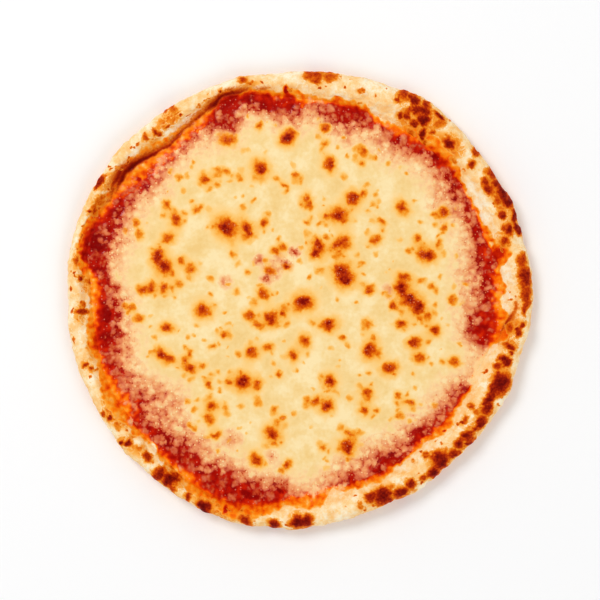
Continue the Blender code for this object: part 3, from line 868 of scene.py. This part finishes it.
def build_sauce():
    angle = np.arange(SAUCE_COLUMNS) * TURN / SAUCE_COLUMNS
    share, turn = (a.ravel() for a in np.meshgrid(np.linspace(0, 1, SAUCE_ROWS), angle, indexing="ij"))
    edge = sauce_edge(turn) + SAUCE_OVERLAP
    radius = edge - SAUCE_BAND * (1 - share)
    inside = edge - radius
    flat = around(turn, radius)
    _, sheer = sheerness(flat, turn, radius)
    bent, moved = turn + 0.02 * lumps(flat, 4, 63), radius + 2.2 * lumps(flat, 3, 64)
    hidden = marks(bent, moved, VEILS, (0, 1), (0.6, 0.85), (1.4, 0)) * (0.8 + 0.5 * lumps(flat, 2, 67))
    sheer = np.clip(np.minimum(sheer, 1 - 0.36 * hidden), 0, 1)
    relief = 0.22 * layers_of_lumps(flat, 6, 62) + 0.04 * lumps(flat, 1.8, 66) + 0.8 * (1 - sheer)
    flat[:, 2] = SAUCE_TOP + relief * smooth_step(0, 2, inside) - 0.7 * smooth_step(1.5, 0, inside)
    bottom = flat[-SAUCE_COLUMNS:].copy()
    bottom[:, 2] = BASE_TOP
    rings = np.concatenate([flat, bottom])
    points, faces = close_rings(rings, SAUCE_COLUMNS, SAUCE_TOP, BASE_TOP)
    values = {"tomato": tomato(turn, radius), "sheer": sheer, "fold_scorch_shade": fold_scorch_and_shade(turn, radius)}
    spots = 0.5 + points[:, :2] / SAUCE_MAP_WIDTH
    sauce = make_piece(
        "tomato_sauce_spread", points, faces, SAUCE, values, spots, ["tomato", "sheer"],
    )
    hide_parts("tomato_sauce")


# The cheese.
CHEESE_RINGS = 180
CHEESE_FOOT = SAUCE_TOP + 0.2
# How far the sheet's edge sinks below its foot, into the sauce.
CHEESE_SINKS = 1.2
EDGE_RADIUS, SPOTTED_RADIUS = 130, 116
CHEESE_MAP_WIDTH = 270.0


def disc_of_rings(count):
    """Angles, shares of the radius and triangles of a disc whose ring k has 6 k points."""
    angles, shares, faces = [np.zeros(1)], [np.zeros(1)], []
    inner_start, start = 0, 1
    for k in range(1, count + 1):
        angles.append(np.arange(6 * k) * TURN / (6 * k))
        shares.append(np.full(6 * k, k / count))
        outer = (start + np.arange(6 * k + 1) % (6 * k)).tolist()
        inner = (inner_start + np.arange(6 * k - 5) % max(6 * k - 6, 1)).tolist()
        for side in range(6):
            for j in range(k):
                faces.append((outer[side * k + j], outer[side * k + j + 1], inner[side * (k - 1) + j]))
            for j in range(k - 1):
                low = side * (k - 1) + j
                faces.append((inner[low], outer[side * k + j + 1], inner[low + 1]))
        inner_start, start = start, start + 6 * k
    return np.concatenate(angles), np.concatenate(shares), faces


# How a toasted spot fades outwards: (share of its size, share of its strength).
SPOT_FADE = (
    (0, 1), (0.4, 0.96), (0.6, 0.84), (0.76, 0.6), (0.9, 0.34), (1.08, 0.19), (1.5, 0.1), (2.4, 0),
)


def spot_marks(points, listed, seed):
    """How toasted the listed spots make each point, from 0 to 1. Each spot is a tilted oval with
    a darker core off its middle."""
    rng = np.random.default_rng(seed)
    shares, levels = np.array(SPOT_FADE).T
    clear = np.ones(len(points))
    for x, y, size, dark in listed:
        stretch, tilt, off, way = rng.uniform((1, 0, 0.05, 0), (1.18, math.pi, 0.32, TURN))
        off *= size
        core = x + off * math.cos(way), y + off * math.sin(way), 0.55 * size, 0.85 * dark**1.4
        for middle_x, middle_y, reach, toasted in ((x, y, 0.94 * size, 0.08 + 0.72 * dark), core):
            across, along = points[:, 0] - middle_x, points[:, 1] - middle_y
            close = np.hypot(across, along) < 2.5 * reach
            across, along = across[close], along[close]
            first = (across * math.cos(tilt) + along * math.sin(tilt)) / stretch
            second = (along * math.cos(tilt) - across * math.sin(tilt)) * stretch
            clear[close] *= 1 - toasted * np.interp(np.hypot(first, second) / reach, shares, levels)
    return 1 - clear


def small_spots():
    """Small weak spots, most of them near a listed one."""
    rng = np.random.default_rng(8)
    spots = []
    for k in range(SMALL_SPOTS):
        size, dark, turn = rng.uniform((0.9, 0.05, 0), (3.0, 0.36, TURN))
        x, y, near, _ = TOASTED_SPOTS[rng.integers(len(TOASTED_SPOTS))]
        away = near * rng.uniform(1.2, 3.2)
        if k % 5 < 2:
            x, y, away = 0, 0, SPOTTED_RADIUS * math.sqrt(rng.random())
        spots.append((x + away * math.cos(turn), y + away * math.sin(turn), size, dark))
    return spots


def build_cheese():
    turn, share, faces = disc_of_rings(CHEESE_RINGS)
    ring = around(turn, EDGE_RADIUS)
    edge = rosy_reach(turn) + 3.0 + 2.0 * lumps(ring, 11, 81) + 1.2 * lumps(ring, 4, 82)
    edge = np.minimum(edge, sauce_edge(turn) + 0.5)
    radius = edge * share
    inside = edge - radius
    flat = around(turn, radius)

    loose = shaken(shaken(flat, 2.0, 6, 91), 0.9, 2.2, 95)
    toast = 1 - (1 - spot_marks(loose, TOASTED_SPOTS, 9)) * (1 - spot_marks(loose, small_spots(), 10))

    # Towards the edge the sheet thins into clumps, with gaps where the sauce shows.
    border, sheer = sheerness(flat, turn, radius)
    dome, thicker = clumps(flat)
    sunk = np.zeros(len(flat))
    for x, y, size, amount in THIN_PLACES:
        away = np.hypot(loose[:, 0] - x, loose[:, 1] - y) / size
        sunk = np.maximum(sunk, amount * smooth_step(1.5, 0.1, away) * (1 - 0.8 * thicker))
    sheer = np.clip(np.maximum(sheer, sunk), 0, 1)
    toast *= smooth_step(1.0, 0.6, border)
    waves = 0.3 * lumps(flat, 26, 111) + 0.16 * lumps(flat, 10, 112) + 0.07 * lumps(flat, 4.5, 113)
    waves += 0.03 * lumps(flat, 1.8, 114)
    thickness = 3.1 - 2.7 * np.clip(border, 0, 1.15) + 0.9 * (dome - 0.5) * smooth_step(0, 0.4, border)
    thickness += 0.3 * thicker * smooth_step(0, 0.4, border) + waves - 0.4 * sunk
    thickness = np.minimum(thickness, 0.4 * inside - 0.5)
    thickness += 0.3 * toast * (1 + 1.2 * lumps(flat, 1.5, 121))
    flat[:, 2] = CHEESE_FOOT + np.maximum(thickness, -CHEESE_SINKS)

    points = np.append(flat, [[0, 0, CHEESE_FOOT - CHEESE_SINKS]], axis=0)
    faces += fan_faces(np.arange(len(flat) - 6 * CHEESE_RINGS, len(flat)), len(flat), flip=True)
    values = {"toast": toast, "sheer": sheer, "tomato": tomato(turn, radius)}
    spots = 0.5 + points[:, :2] / CHEESE_MAP_WIDTH
    cheese = make_piece("cheese_melted", points, faces, CHEESE, values, spots)
    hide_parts("cheese")


build_crust()
build_sauce()
build_cheese()


# The stage: a pale floor, a soft key light from the upper left and a soft surround.
CAMERA_DISTANCE = 1.6
VIEW_WIDTH = 0.396
TOPPING_HEIGHT = 0.008
FLOOR_SIZE = 8


def set_world(scene):
    world = bpy.data.worlds.new("surround")
    scene.world = world
    world.use_nodes = True
    nodes, links = world.node_tree.nodes, world.node_tree.links
    nodes.clear()
    # Darker straight above, so that wet places keep their colour.
    sky = nodes.new("ShaderNodeSeparateXYZ")
    links.new(nodes.new("ShaderNodeTexCoord").outputs["Generated"], sky.inputs[0])
    strength = nodes.new("ShaderNodeMapRange")
    for key, value in (("From Min", 0.78), ("From Max", 0.99), ("To Min", 0.93), ("To Max", 0.05)):
        strength.inputs[key].default_value = value
    links.new(sky.outputs["Z"], strength.inputs["Value"])
    seen = nodes.new("ShaderNodeMix")
    links.new(nodes.new("ShaderNodeLightPath").outputs["Is Camera Ray"], seen.inputs["Factor"])
    links.new(strength.outputs[0], seen.inputs["A"])
    seen.inputs["B"].default_value = 0.95
    background = nodes.new("ShaderNodeBackground")
    links.new(seen.outputs["Result"], background.inputs["Strength"])
    links.new(background.outputs[0], nodes.new("ShaderNodeOutputWorld").inputs[0])


def add_light(scene, name, azimuth, elevation, distance, size, power):
    """A round area light aimed at the pizza from a direction in degrees."""
    light = bpy.data.lights.new(name, "AREA")
    light.shape = "DISK"
    light.size = size
    light.energy = power
    lamp = bpy.data.objects.new(name, light)
    scene.collection.objects.link(lamp)
    a, e = math.radians(azimuth), math.radians(elevation)
    across = distance * math.cos(e)
    lamp.location = (across * math.cos(a), across * math.sin(a), distance * math.sin(e))
    lamp.rotation_euler = (math.pi / 2 - e, 0, a + math.pi / 2)


def set_stage():
    scene = bpy.context.scene
    scene.view_settings.view_transform = "Standard"
    bpy.ops.mesh.primitive_plane_add(size=FLOOR_SIZE)
    floor = bpy.context.object
    floor.name = "floor"
    floor.data.materials.append(Shader("pale_floor").finish(Base_Color=(0.97, 0.97, 0.97, 1), Roughness=0.9))
    set_world(scene)
    add_light(scene, "key", azimuth=135, elevation=57, distance=2.2, size=0.9, power=18.7)
    add_light(scene, "fill", azimuth=315, elevation=50, distance=2.2, size=1.2, power=7.7)

    lens = bpy.data.cameras.new("camera")
    lens.sensor_width = 36
    lens.lens = lens.sensor_width * (CAMERA_DISTANCE - TOPPING_HEIGHT) / VIEW_WIDTH
    camera = bpy.data.objects.new("camera", lens)
    camera.location = (0, 0, CAMERA_DISTANCE)
    scene.collection.objects.link(camera)
    scene.camera = camera


set_stage()
